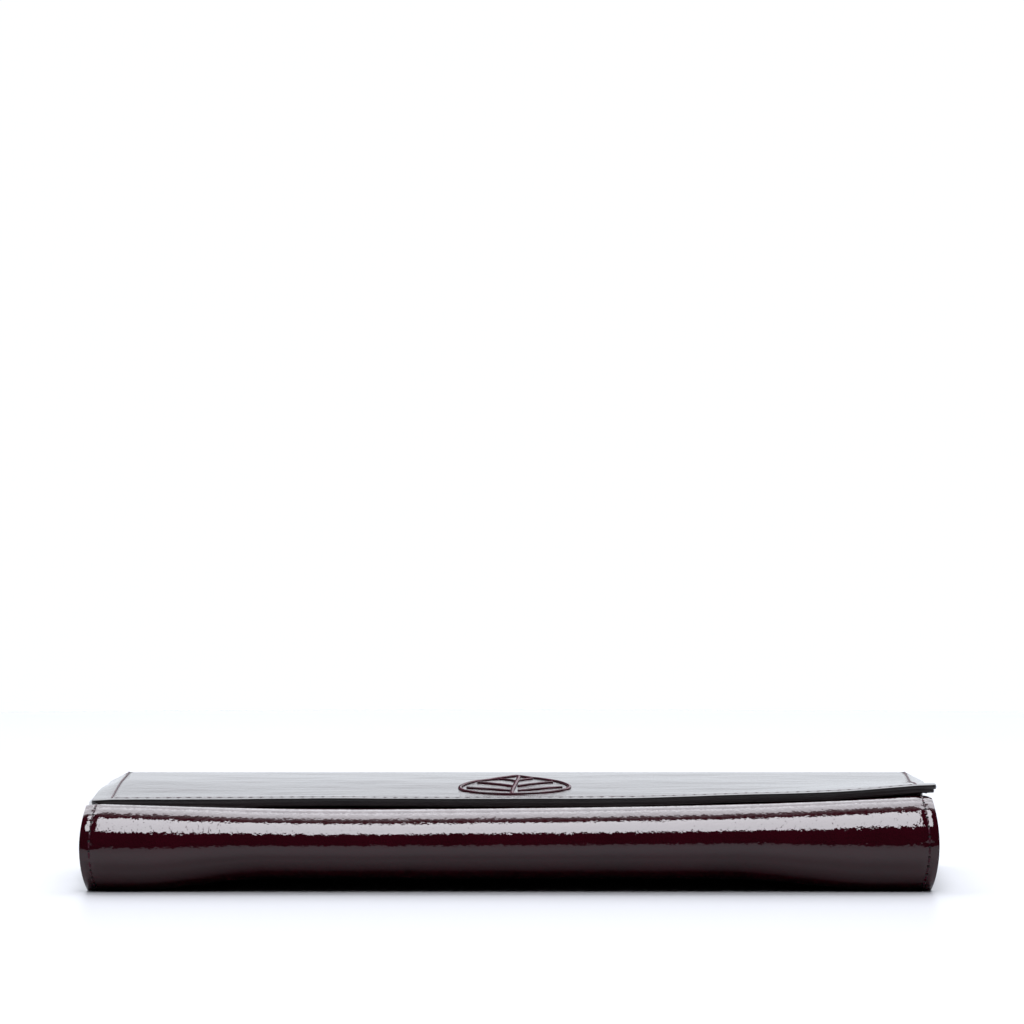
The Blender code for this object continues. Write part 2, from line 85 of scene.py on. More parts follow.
flapCover = {
    "leather": 0.95,
    "board": 0.4,
    "lining": 0.75,
    "edgeHeights": ((-93, 20.1), (-40, 20.35), (0, 20.3), (50, 21.1), (75, 22.1), (93, 23.6)),
    "crest": 21.4,
    "rise": 55,  # how far from the free edge the flap reaches its crest
    "sideSeam": 4.2,
    "frontSeam": 4.4,
    "seamDip": (0.16, 0.55),  # depth and half width of the grooves along the seams
    "frontDroop": 0.03,  # slope of the margin outside the front seam
    "corner": 1.0,
    "spread": 1.008,
    "drift": (1.0, 1.7),  # how far the flap lies to the right, at its free edge and at the fold
    "sideDroop": (0.05, 0.5),  # slope of the margins outside the side seams, in the same order
    "wave": 0.16,
    "waveSizes": (24, 8),  # broad and fine
    "fineShare": 0.35,
    "calmFold": 12,  # how far from the fold the waves die out
    "calmEnds": (78, 90),  # where they fade towards the flap's sides
    "stand": 0.55,  # room between the flap and the front panel, for the press stud
}
stitching = {"pitch": 2.3, "length": 1.75, "width": 0.5}
fineStitching = {"pitch": 2.3, "length": 1.6, "width": 0.36}
tabStitching = {"pitch": 1.3, "length": 0.95, "width": 0.32}

halfWidth = rollHigh.x
halfFlap = flapHigh.x
height = rollHigh.z
rollRadius = height / 2
rollY = rollHigh.y
flapNear = flapLow.y
foldY = spineHigh.y - wallet["foldRadius"]
mouthY = frontHigh.y
flapDepth = flapCover["leather"] + flapCover["board"] + flapCover["lining"]


def smooth(low, high, x):  # rises from 0 at low to 1 at high
    t = np.clip((x - low) / (high - low), 0, 1)
    return t * t * (3 - 2 * t)


def along(knots, x):  # a smooth curve through (place, value) knots
    places, values = np.array(knots, float).T
    slopes = np.gradient(values, places)
    x = np.clip(x, places[0], places[-1])
    i = np.clip(np.searchsorted(places, x) - 1, 0, len(places) - 2)
    span = places[i + 1] - places[i]
    t = (x - places[i]) / span
    ends = (2 * t**3 - 3 * t**2 + 1) * values[i] + (3 * t**2 - 2 * t**3) * values[i + 1]
    return ends + span * ((t**3 - 2 * t**2 + t) * slopes[i] + (t**3 - t**2) * slopes[i + 1])


def uneven(x, v, size, seed):  # smooth noise, about -1 to 1
    pairs = zip((x / size).ravel(), (v / size).ravel())
    return np.array([noise.noise((a, b, seed)) for a, b in pairs]).reshape(x.shape)


def spaced(low, high, step, border=6.5, fine=0.45):  # closer together towards both ends
    near = np.arange(low, low + border, fine)
    far = np.arange(high, high - border, -fine)[::-1]
    count = max(2, round((far[0] - near[-1]) / step))
    middle = np.linspace(near[-1], far[0], count + 1)[1:-1]
    return np.concatenate((near, middle, far))


# The shape of the closed wallet. x runs along it, and y or v across it.
def flapTop(x, y):
    nearHeight = along(flapCover["edgeHeights"], x)
    top = nearHeight + (flapCover["crest"] - nearHeight) * smooth(flapNear, flapNear + flapCover["rise"], y)
    calm = 0.8 * smooth(*flapCover["calmEnds"], np.abs(x))
    wave = flapCover["wave"] * (1 - smooth(foldY - flapCover["calmFold"], foldY, y)) * (1 - calm)
    broad, fine = flapCover["waveSizes"]
    fineWaves = flapCover["fineShare"] * uneven(x, y * 1.8, fine, 7.7)
    return top + wave * (uneven(x, y * 1.6, broad, 3.1) + fineWaves)


def droop(x, v):  # how far the flap's side margins hang, outside the seams
    side = np.clip(flapCover["sideSeam"] - (halfFlap - np.abs(x)), 0, None)
    near, far = flapCover["sideDroop"]
    return side * (near + (far - near) * smooth(0, stretches["flap"], v))


def flapFace(x, y):  # the flap's top, with its margins turned down outside the seams
    side = flapCover["sideSeam"] - (halfFlap - np.abs(x))
    front = flapCover["frontSeam"] - (y - flapNear)
    drop = droop(x, y - flapNear) + flapCover["frontDroop"] * np.clip(front, 0, None)
    depth, width = flapCover["seamDip"]
    groove = depth * np.exp(-((side / width) ** 2)) * smooth(-1, 0.2, -front)
    groove = groove + depth * np.exp(-((front / width) ** 2)) * smooth(-1, 0.2, -side)
    return flapTop(x, y) - drop - groove


def frontTop(x, y):  # top of the roll and, under the flap, of the front panel
    crest = along(wallet["rollHeights"], x)
    flapX = np.clip(x, -halfFlap, halfFlap)
    flapY = np.maximum(y, flapNear)
    under = flapTop(flapX, flapY) - droop(flapX, flapY - flapNear) - flapDepth - flapCover["stand"]
    return crest + (np.minimum(under, crest) - crest) * smooth(rollY - 3, rollY + 4, y)


def lifted(x):  # 1 where the wallet stands off the table, 0 at its ends
    return smooth(*wallet["leftRise"], x) * (1 - smooth(*wallet["rightRise"], x))


def settled(x, y, z):  # moves a point of the straight wallet to where it lies once settled
    low = wallet["lift"] * lifted(x) * (1 - smooth(*wallet["liftFade"], y))
    lean = ((z - rollRadius) / rollRadius) ** 2 * (1 - smooth(*wallet["flareFade"], y))
    newX = x * (1 - wallet["endFlare"] * lean)
    endTuck, middleTuck = wallet["tuck"]
    tuck = endTuck + (middleTuck - endTuck) * lifted(x)
    tuck = tuck * (1 - smooth(rollY, rollY + wallet["tuckFade"], y))
    newY = y + tuck * np.clip(1 - z / rollRadius, 0, 1) ** 2
    return newX, newY, low + (frontTop(x, y) - low) * z / height


# The cover's outer face runs from the flap's free edge over the fold, down the spine, under the back,
# round the roll and along the front panel. Each stretch starts where the one before it ends.
arcLength = math.pi / 2 * wallet["foldRadius"]
spineHeight = flapCover["crest"] - 2 * wallet["foldRadius"]
stretches = {
    "flap": foldY - flapNear,
    "spine": 2 * arcLength + spineHeight,
    "back": foldY - rollY,
    "roll": math.pi * rollRadius,
    "front": mouthY - rollY,
}
starts = dict(zip(stretches, np.cumsum([0] + list(stretches.values()))))


def drifted(x, v):  # the flap lies a little to one side of the body
    near, far = flapCover["drift"]
    return x * flapCover["spread"] + near + (far - near) * smooth(0, stretches["flap"], v)


def flapPlace(x, v):
    y = flapNear + v
    newX, newY, z = roundedNear(x, y, flapFace(x, y))
    return drifted(newX, v), newY, z


def roundedNear(x, y, z):  # rounds the flap's two free corners
    r = flapCover["corner"]
    a = np.clip((np.abs(x) - (halfFlap - r)) / r, 0, 1)
    b = np.clip((flapNear + r - y) / r, 0, 1)
    newX = np.where(a * b > 0, np.sign(x) * (halfFlap - r + r * a * np.sqrt(1 - b * b / 2)), x)
    newY = np.where(a * b > 0, flapNear + r - r * b * np.sqrt(1 - a * a / 2), y)
    return newX, newY, z


def spinePlace(x, v, gap=0.0):
    r = wallet["foldRadius"]
    upper = np.clip(v, 0, arcLength) / r
    lower = np.clip(v - arcLength - spineHeight, 0, arcLength) / r
    down = np.clip(v - arcLength, 0, spineHeight)
    sink = np.sin(np.clip(v / stretches["spine"], 0, 1) * math.pi) ** 2
    belly = wallet["belly"] * sink * (1 - (x / halfFlap) ** 4)
    hang = droop(x, stretches["flap"] + 0 * v) * (1 - smooth(0.1, 1.4, lower))
    y = foldY + (r - gap) * (np.sin(upper) + np.cos(lower) - 1) - belly - hang * np.sin(upper)
    z = flapCover["crest"] - gap - (r - gap) * (1 - np.cos(upper) + np.sin(lower)) - down
    share = smooth(0.45, 1, v / stretches["spine"])
    spread = flapCover["spread"] + (halfWidth / halfFlap - flapCover["spread"]) * share
    return x * spread + flapCover["drift"][1] * (1 - share), y, z - hang * np.cos(upper)


def pinch(x, v):  # how far the leather dips along the roll's end seams and turns in outside them
    side = np.abs(x) - (halfWidth - wallet["seamInset"])
    depth, width = wallet["pucker"]
    near = np.exp(-((side / width) ** 2))
    pucker = depth * near * (np.sin(2 * math.pi * v / stitching["pitch"]) + uneven(x, v, 1.4, 2.6))
    depth, width = wallet["seamDip"]
    turn = wallet["seamTurn"] * np.clip(side, 0, None) ** 1.5
    return depth * np.exp(-((side / width) ** 2)) + turn + pucker


def bodyPlace(x, v, gap=0.0):  # the back, then the roll
    y = np.where(v < stretches["back"], foldY - v, rollY)
    turn = np.clip(v - stretches["back"], 0, None) / rollRadius
    r = rollRadius - gap - pinch(x, v) * smooth(0, 0.4, turn)
    return settled(x, y - r * np.sin(turn), rollRadius - r * np.cos(turn))


def frontPlace(x, v, gap=0.0):
    return settled(x, rollY + v, height - gap - pinch(x, stretches["back"] + stretches["roll"] + v))


def flapUnder(x, v, gap=0.0):  # layers under the flap's leather
    newX, newY, z = flapPlace(x, v)
    return newX, newY, z - gap


def at(place, gap):  # the same stretch, gap further in
    return lambda x, v: place(x, v, gap)


def newFinish(name, color, **values):
    finish = bpy.data.materials.new(name)
    finish.use_nodes = True
    shader = finish.node_tree.nodes["Principled BSDF"]
    shader.inputs["Base Color"].default_value = (*color, 1)
    for socket, value in values.items():
        shader.inputs[socket.replace("_", " ")].default_value = value
    finish.diffuse_color = (*color, 1)
    return finish, finish.node_tree, shader


def addNode(tree, kind, **values):
    node = tree.nodes.new(kind)
    for key, value in values.items():
        if hasattr(node, key):
            setattr(node, key, value)
        else:
            node.inputs[key.replace("_", " ")].default_value = value
    return node


def noiseOf(tree, place, scale, detail=3, roughness=0.5, stretch=None):
    texture = addNode(tree, "ShaderNodeTexNoise", Scale=scale, Detail=detail, Roughness=roughness)
    if stretch:
        mapping = addNode(tree, "ShaderNodeMapping", Scale=stretch)
        tree.links.new(place, mapping.inputs["Vector"])
        place = mapping.outputs["Vector"]
    tree.links.new(place, texture.inputs["Vector"])
    return texture.outputs["Fac"]


def bumpOf(tree, heightSocket, distance, before=None):
    bump = addNode(tree, "ShaderNodeBump", Strength=1.0, Distance=distance)
    tree.links.new(heightSocket, bump.inputs["Height"])
    if before:
        tree.links.new(before, bump.inputs["Normal"])
    return bump.outputs["Normal"]


def colorBetween(tree, factor, low, high, shader, fromValue=0.35, toValue=0.65):
    ramp = addNode(tree, "ShaderNodeValToRGB")
    ramp.color_ramp.elements[0].position = fromValue
    ramp.color_ramp.elements[0].color = (*low, 1)
    ramp.color_ramp.elements[1].position = toValue
    ramp.color_ramp.elements[1].color = (*high, 1)
    tree.links.new(factor, ramp.inputs["Fac"])
    tree.links.new(ramp.outputs["Color"], shader.inputs["Base Color"])


def valueBetween(tree, factor, low, high, socket):
    span = addNode(tree, "ShaderNodeMapRange", From_Min=0.3, From_Max=0.7, To_Min=low, To_Max=high)
    tree.links.new(factor, span.inputs["Value"])
    tree.links.new(span.outputs["Result"], socket)


patent = {
    "light": (0.026, 0.0007, 0.0037),
    "dark": (0.02, 0.0005, 0.0028),
    "mottleScale": 70,
    "gloss": 0.035,  # roughness of the lacquer
    "dimple": (130, 0.00006),  # scale of each kind of unevenness, and its depth in metres
    "pebble": (820, 0.00008),
    "crease": (430, 0.000005),
    "grain": (2400, 0.000005),
    "creaseWidth": 0.16,
    "creaseDrift": (240, 0.0022),  # scale and reach of what bends the creases
}


def patentFinish(name):
    finish, tree, shader = newFinish(
        name, patent["light"], Roughness=0.5, Specular_IOR_Level=0.0,
        Coat_Weight=1.0, Coat_Roughness=patent["gloss"], Coat_IOR=1.5,
    )
    hide = addNode(tree, "ShaderNodeUVMap", uv_map="hide").outputs["UV"]
    driftScale, reach = patent["creaseDrift"]
    drift = addNode(tree, "ShaderNodeTexNoise", Scale=driftScale, Detail=2.0)
    tree.links.new(hide, drift.inputs["Vector"])
    warp = addNode(tree, "ShaderNodeVectorMath", operation="MULTIPLY_ADD")
    tree.links.new(drift.outputs["Color"], warp.inputs[0])
    warp.inputs[1].default_value = (reach, reach, 0)
    tree.links.new(hide, warp.inputs[2])
    creaseScale, creaseDepth = patent["crease"]
    cells = addNode(tree, "ShaderNodeTexVoronoi", feature="DISTANCE_TO_EDGE", Scale=creaseScale)
    tree.links.new(warp.outputs["Vector"], cells.inputs["Vector"])
    width = patent["creaseWidth"]
    folds = addNode(tree, "ShaderNodeMapRange", interpolation_type="SMOOTHSTEP", From_Max=width)
    tree.links.new(cells.outputs["Distance"], folds.inputs["Value"])

    scale, depth = patent["dimple"]
    normal = bumpOf(tree, noiseOf(tree, hide, scale, 2, stretch=(0.7, 1.4, 1)), depth)
    scale, depth = patent["pebble"]
    normal = bumpOf(tree, noiseOf(tree, hide, scale, 2.5, stretch=(1.25, 0.8, 1)), depth, normal)
    normal = bumpOf(tree, folds.outputs["Result"], creaseDepth, normal)
    scale, depth = patent["grain"]
    normal = bumpOf(tree, noiseOf(tree, hide, scale, 2), depth, normal)
    tree.links.new(normal, shader.inputs["Normal"])
    tree.links.new(normal, shader.inputs["Coat Normal"])
    colorBetween(tree, noiseOf(tree, hide, patent["mottleScale"], 4), patent["dark"], patent["light"], shader)
    return finish


def placeOf(tree, coordinate):  # the hide's own flat coordinates, or the object's
    if coordinate == "hide":
        return addNode(tree, "ShaderNodeUVMap", uv_map="hide").outputs["UV"]
    return addNode(tree, "ShaderNodeTexCoord").outputs["Object"]


def grainedFinish(name, low, high, roughness, scale, depth, coordinate="hide", **values):
    finish, tree, shader = newFinish(name, high, **values)
    place = placeOf(tree, coordinate)
    grain = noiseOf(tree, place, scale, 4, 0.6)
    broad = noiseOf(tree, place, scale / 12, 3)
    colorBetween(tree, broad, low, high, shader)
    valueBetween(tree, grain, roughness - 0.06, roughness + 0.06, shader.inputs["Roughness"])
    tree.links.new(bumpOf(tree, grain, depth), shader.inputs["Normal"])
    return finish


def wovenFinish(name, low, high, pitch, depth):  # threads along X and Z
    finish, tree, shader = newFinish(name, high, Roughness=0.85, Sheen_Weight=0.25, Sheen_Roughness=0.5)
    place = placeOf(tree, "object")
    weave = addNode(tree, "ShaderNodeMath", operation="MULTIPLY")
    for i, direction in enumerate("XZ"):
        wave = addNode(tree, "ShaderNodeTexWave", bands_direction=direction, Scale=1 / pitch / 3.14)
        tree.links.new(place, wave.inputs["Vector"])
        tree.links.new(wave.outputs["Fac"], weave.inputs[i])
    # the colour follows the weave's relief, darker in the dips between threads: painted shade, on top of the
    # bump's own shading
    colorBetween(tree, weave.outputs["Value"], low, high, shader, 0.1, 0.9)
    tree.links.new(bumpOf(tree, weave.outputs["Value"], depth), shader.inputs["Normal"])
    return finish


print("making the finishes")
burgundyPatent = patentFinish("burgundyPatent")
edgePaint = grainedFinish(
    "edgePaint", low=(0.006, 0.004, 0.005), high=(0.014, 0.009, 0.01), roughness=0.34, scale=500,
    depth=0.00003, Coat_Weight=0.3, Coat_Roughness=0.25,
)
fleshSide = grainedFinish(
    "fleshSide", low=(0.02, 0.008, 0.01), high=(0.035, 0.012, 0.016), roughness=0.8, scale=1500,
    depth=0.00003,
)
blackLining = grainedFinish(
    "blackLining", low=(0.006, 0.006, 0.007), high=(0.01, 0.0095, 0.011), roughness=0.5, scale=1100,
    depth=0.00004, Specular_IOR_Level=0.3,
)
fibreBoard = grainedFinish(
    "fibreBoard", low=(0.28, 0.24, 0.19), high=(0.4, 0.35, 0.28), roughness=0.88, scale=700, depth=0.00005
)
thread = {"scale": 2600, "depth": 0.00003, "coordinate": "object"}
silkThread = grainedFinish(
    "silkThread", low=(0.02, 0.001, 0.005), high=(0.05, 0.002, 0.013), roughness=0.4, **thread,
    Specular_IOR_Level=0.3,
)
motifThread = grainedFinish(
    "motifThread", low=(0.03, 0.001, 0.007), high=(0.07, 0.002, 0.016), roughness=0.4, **thread,
    Specular_IOR_Level=0.25,
)
blackThread = grainedFinish(
    "blackThread", low=(0.012, 0.012, 0.012), high=(0.03, 0.03, 0.032), roughness=0.5, **thread
)
# painted shade: near-black discs over the needle holes stand in for the shade inside them
needleHoleShade = grainedFinish(
    "needleHoleShade", low=(0.001, 0.0005, 0.0006), high=(0.003, 0.001, 0.0015), roughness=0.8, scale=2000,
    depth=0.00001, coordinate="object",
)
goldMetal = grainedFinish(
    "goldMetal", low=(0.72, 0.49, 0.2), high=(0.86, 0.64, 0.32), roughness=0.22, scale=900,
    depth=0.000006, coordinate="object", Metallic=1.0,
)
zipTapeObject = wovenFinish(
    "zipTapeObject", low=(0.006, 0.006, 0.007), high=(0.03, 0.03, 0.033), pitch=0.0004, depth=0.00012
)


def placed(name, data):
    obj = bpy.data.objects.new(name, data)
    bpy.context.scene.collection.objects.link(obj)
    return obj


def newPiece(name, points, faces, finishes, picks=None, spread=None, sharp=40):
    mesh = bpy.data.meshes.new(name)
    mesh.from_pydata((np.asarray(points) * mm).tolist(), [], [list(map(int, f)) for f in faces])
    for finish in finishes:
        mesh.materials.append(finish)
    if picks is not None:
        mesh.polygons.foreach_set("material_index", picks)
    if spread is not None:
        corners = np.empty(len(mesh.loops), int)
        mesh.loops.foreach_get("vertex_index", corners)
        mesh.uv_layers.new(name="hide").data.foreach_set("uv", (np.asarray(spread) * mm)[corners].ravel())
    mesh.shade_smooth()
    mesh.set_sharp_from_angle(angle=math.radians(sharp))
    return placed(name, mesh)


def unit(vectors):
    return vectors / np.maximum(np.linalg.norm(vectors, axis=-1, keepdims=True), 1e-9)


def sheetPiece(
    name, xs, vs, place, thickness, finishes, ends=(2, 2), vStart=0.0, bulge=0.12, lengths=(1, 1)
):
    # finishes are for the face, the back and the edge; ends picks those of the first and last row's edge
    # lengths are the millimetres that one unit of xs and of vs stand for
    across, run = np.meshgrid(xs, vs)
    face = np.stack(np.broadcast_arrays(*place(across, run)), axis=-1)
    normal = unit(np.cross(np.gradient(face, axis=1), np.gradient(face, axis=0)))
    back = face - normal * thickness
    outward = np.zeros_like(face)
    outward[0] += unit(face[0] - face[1])
    outward[-1] += unit(face[-1] - face[-2])
    outward[:, 0] += unit(face[:, 0] - face[:, 1])
    outward[:, -1] += unit(face[:, -1] - face[:, -2])
    middle = (face + back) / 2 + unit(outward) * bulge * thickness

    rows, columns = across.shape
    index = np.arange(rows * columns).reshape(rows, columns)
    rim = np.concatenate((index[0], index[1:, -1], index[-1, -2::-1], index[-2:0:-1, 0]))
    quads = np.stack((index[:-1, :-1], index[:-1, 1:], index[1:, 1:], index[1:, :-1]), -1).reshape(-1, 4)
    count = rows * columns
    rimMiddle = 2 * count + np.arange(len(rim))
    nextRim, nextMiddle = np.roll(rim, -1), np.roll(rimMiddle, -1)
    upper = np.stack((nextRim, rim, rimMiddle, nextMiddle), -1)
    lower = np.stack((nextMiddle, rimMiddle, rim + count, nextRim + count), -1)
    rimPicks = np.full(len(rim), 2)
    rimPicks[: columns - 1] = ends[0]
    rimPicks[columns + rows - 2 : 2 * columns + rows - 3] = ends[1]

    points = np.concatenate((face.reshape(-1, 3), back.reshape(-1, 3), middle.reshape(-1, 3)[rim]))
    flat = np.stack((across * lengths[0], run * lengths[1] + vStart), -1).reshape(-1, 2)
    spread = np.concatenate((flat, flat, flat[rim]))
    faces = np.concatenate((quads, quads[:, ::-1] + count, upper, lower)).tolist()
    picks = np.concatenate((np.full(len(quads), 0), np.full(len(quads), 1), rimPicks, rimPicks))
    return newPiece(name, points, faces, finishes, picks, spread)


def ringQuads(rings, sides, first=0):  # joins rings of points that follow each other
    for a in range(first, first + (rings - 1) * sides, sides):
        for i in range(sides):
            j = (i + 1) % sides
            yield a + i, a + sides + i, a + sides + j, a + j


def stitchShape(sides=6):  # one stitch along X, one long and one wide, dipping at both ends
    stations = ((-0.5, 0.35), (-0.38, 0.85), (0.0, 1.0), (0.38, 0.85), (0.5, 0.35))
    angles = [2 * math.pi * i / sides for i in range(sides)]
    points = [
        (x, 0.5 * r * math.cos(a), 0.42 * r * math.sin(a), x * x) for x, r in stations for a in angles
    ]
    faces = [(d, a, b, c) for a, b, c, d in ringQuads(len(stations), sides)]
    faces.append(tuple(range(sides)))
    faces.append(tuple(range(len(points) - 1, len(points) - 1 - sides, -1)))
    return np.array(points), faces


def stitchRows(name, rows, finishes, pitch, length, width, slant=0.0, rise=0.1, shadedHoles=True):
    # rows are (points, normals) lines on a surface
    shape, shapeFaces = stitchShape()
    disc = np.array([(math.cos(a), math.sin(a)) for a in np.arange(8) * math.pi / 4]) * 0.62 * width
    points, faces, picks = [], [], []
    total = 0
    for line, normals in rows:
        line, normals = np.asarray(line, float), unit(np.asarray(normals, float))
        lengths = np.concatenate(([0], np.cumsum(np.linalg.norm(np.diff(line, axis=0), axis=1))))
        count = max(1, round(lengths[-1] / pitch))
        for place in (np.arange(count) + 0.5) * lengths[-1] / count:
            middle, up = (
                np.array([np.interp(place, lengths, values[:, k]) for k in range(3)])
                for values in (line, normals)
            )
            up = unit(up)
            i = min(np.searchsorted(lengths, place), len(lengths) - 1)
            ahead = unit(line[i] - line[i - 1])
            side = unit(np.cross(up, ahead))
            ahead = np.cross(side, up)
            run = ahead * math.cos(slant) + side * math.sin(slant)
            cross = np.cross(up, run)
            lift = width * rise + shape[:, 2] * width - 1.6 * width * shape[:, 3]
            flat = middle + shape[:, :1] * length * run + shape[:, 1:2] * width * cross
            points.append(flat + lift[:, None] * up)
            faces += [tuple(total + k for k in face) for face in shapeFaces]
            picks += [0] * len(shapeFaces)
            total += len(shape)
            # each needle hole gets a near-black disc just over the leather, painted shade for the hole's
            # recess
            if shadedHoles:
                hole = middle + run * length * 0.53 + up * 0.03
                points.append(hole + disc[:, :1] * run + disc[:, 1:] * cross)
                faces.append(tuple(total + k for k in range(8)))
                picks.append(1)
                total += 8
    return newPiece(name, np.concatenate(points), faces, finishes, picks)


def surfaceLine(place, xs, vs):  # a line on a surface, with the surface's normals
    xs, vs = np.broadcast_arrays(np.asarray(xs, float), np.asarray(vs, float))
    step = 0.05
    at = np.stack(np.broadcast_arrays(*place(xs, vs)), -1)
    alongX = np.stack(np.broadcast_arrays(*place(xs + step, vs)), -1) - at
    alongV = np.stack(np.broadcast_arrays(*place(xs, vs + step)), -1) - at
    return at, unit(np.cross(alongX, alongV))


def bothSides(place, xs, vs):  # the same line at the left and at the right
    return [surfaceLine(place, side * xs, vs) for side in (-1, 1)]


def turnedPiece(name, profile, center, finish, steps=48):
    # profile is (radius, height) points from the top's middle, down the outside
    points = []
    for radius, z in profile:
        for i in range(steps):
            angle = 2 * math.pi * i / steps
            points.append((center[0] + radius * math.cos(angle), center[1] + radius * math.sin(angle), z))
    obj = newPiece(name, points, ringQuads(len(profile), steps), [finish], sharp=35)
    mesh = obj.data
    shape = bmesh.new()
    shape.from_mesh(mesh)
    bmesh.ops.remove_doubles(shape, verts=shape.verts, dist=0.000001)
    bmesh.ops.dissolve_degenerate(shape, edges=shape.edges, dist=0.000001)
    shape.to_mesh(mesh)
    shape.free()
    return obj


def fitted(piece, body, slotName, *nodes):
    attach(piece, body)
    if nodes:
        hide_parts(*nodes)


def bending(piece, first, second, start, end, slotName, *nodes):  # start and end are (y, z) places; they are not used
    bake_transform(piece)
    if nodes:
        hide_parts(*nodes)


frontBend = ("body", "front", (rollY, height), (rollY + 9, height))
lowerBend = ("body", "spine", (foldY - 1, 0), (spineHigh.y, wallet["foldRadius"]))
upperBend = (
    "spine", "flap", (spineHigh.y, flapCover["crest"] - wallet["foldRadius"]), (foldY - 1, flapCover["crest"])
)

print("cutting the outer cover")
coverFinishes = (burgundyPatent, fleshSide, edgePaint)
wideColumns = spaced(-halfWidth, halfWidth, 1.6)
flapColumns = spaced(-halfFlap, halfFlap, 1.0)

flapRows = np.concatenate((spaced(0, 60, 0.8), np.arange(60.8, stretches["flap"], 0.8), [stretches["flap"]]))
flapLeather = sheetPiece(
    "flapLeather", flapColumns, flapRows, flapPlace, flapCover["leather"], coverFinishes, ends=(2, 0)
)
fitted(flapLeather, "flap", "patent_leather", "outer_flap")

middleV = stretches["spine"] / 2
spineHalves = (("Upper", 0, middleV, upperBend), ("Lower", middleV, stretches["spine"], lowerBend))
for half, low, high, bend in spineHalves:
    piece = sheetPiece(
        f"spineLeather{half}", flapColumns, np.linspace(low, high, 22), spinePlace, wallet["leather"],
        coverFinishes, ends=(0, 0), vStart=starts["spine"],
    )
    bending(piece, *bend, "patent_leather", "outer_spine")


def bodyRows(start, backCount, rollCount):  # along the back, then round the roll
    back = np.linspace(start, stretches["back"], backCount)
    return np.concatenate((back, stretches["back"] + np.linspace(0, stretches["roll"], rollCount)[1:]))


bodyLeather = sheetPiece(
    "bodyLeather", wideColumns, bodyRows(0, 60, 73), bodyPlace, wallet["leather"], coverFinishes,
    ends=(0, 0), vStart=starts["back"],
)
fitted(bodyLeather, "body", "patent_leather", "outer_back_panel", "outer_bottom_roll")

frontLeather = sheetPiece(
    "frontLeather", wideColumns, np.linspace(0, stretches["front"], 74), frontPlace, wallet["leather"],
    coverFinishes, ends=(0, 2), vStart=starts["front"],
)
bending(frontLeather, *frontBend, "patent_leather", "outer_front_panel")

print("laying the linings")
lining = {
    "leather": 0.42,
    "spineLeather": 0.45,
    "gap": 0.12,  # between the cover and the boards
    "backBoard": 0.28,
    "backLevel": 0.33,  # how far over the boards' undersides the lining lies
    "frontBoard": 0.3,
    "frontLevel": 0.38,
    "flapBoardGap": 0.03,  # over and under the flap's board
    "flapBoardInset": 4,
    "flapJoin": (0.9, 3.8),  # where the flap's lining leaves the leather, from the edge
}
liningFinishes = (blackLining, blackLining, edgePaint)
boardFinishes = (fibreBoard, fibreBoard, fibreBoard)
linedHalf = cornersOf("back_lining")[1].x
linedColumns = spaced(-linedHalf, linedHalf, 3.0, fine=1.2)
boardColumns = np.linspace(-linedHalf, linedHalf, 60)

boardHalf = halfFlap - lining["flapBoardInset"]
flapBoard = sheetPiece(
    "flapBoard", np.linspace(-boardHalf, boardHalf, 60), np.linspace(4.5, stretches["flap"] - 2, 30),
    at(flapUnder, flapCover["leather"] + lining["flapBoardGap"]),
    flapCover["board"] - 2 * lining["flapBoardGap"], boardFinishes,
)
fitted(flapBoard, "flap", "board", "flap_stiffener")


def flapLiningPlace(x, v):  # meets the leather at the edges and lies under the board elsewhere
    fromEdge = np.minimum(halfFlap - np.abs(x), v)
    return flapUnder(x, v, flapCover["leather"] + flapCover["board"] * smooth(*lining["flapJoin"], fromEdge))


flapLining = sheetPiece(
    "flapLining", flapColumns[::2], spaced(0, stretches["flap"], 1.6), flapLiningPlace, flapCover["lining"],
    liningFinishes, ends=(2, 1),
)
fitted(flapLining, "flap", "lining_leather", "flap_lining")

liningGap = wallet["leather"] + lining["gap"]
for half, low, high, bend in spineHalves:
    piece = sheetPiece(
        f"spineLining{half}", linedColumns, np.linspace(low, high, 18), at(spinePlace, liningGap),
        lining["spineLeather"], liningFinishes, ends=(1, 1), vStart=starts["spine"],
    )
    bending(piece, *bend, "lining_leather", "spine_lining")

bodyBoard = sheetPiece(
    "backBoard", boardColumns, np.linspace(1, stretches["back"] - 2, 30), at(bodyPlace, liningGap),
    lining["backBoard"], boardFinishes,
)
fitted(bodyBoard, "body", "board", "back_stiffener")
bodyLining = sheetPiece(
    "bodyLining", linedColumns, bodyRows(0, 40, 41), at(bodyPlace, liningGap + lining["backLevel"]),
    lining["leather"], liningFinishes, ends=(1, 1),
)
fitted(bodyLining, "body", "lining_leather", "back_lining", "roll_lining")
frontBoard = sheetPiece(
    "frontBoard", boardColumns, np.linspace(2, stretches["front"] - 2, 30), at(frontPlace, liningGap),
    lining["frontBoard"], boardFinishes,
)
bending(frontBoard, *frontBend, "board", "front_stiffener")
frontLining = sheetPiece(
    "frontLining", linedColumns, np.linspace(0, stretches["front"] - 0.3, 40),
    at(frontPlace, liningGap + lining["frontLevel"]), lining["leather"], liningFinishes, ends=(1, 2),
)
bending(frontLining, *frontBend, "lining_leather", "front_lining")

print("stitching the pockets")
cardPocket = {
    "divide": 0.3,  # from the middle line to each column
    "seamInset": 1.0,
    "mouthDip": 1.1,
    "puff": 0.22,
    "crease": (1.9, 0.4, 0.12),  # its place from the mouth, its half width and its depth
}
pocketLines = []


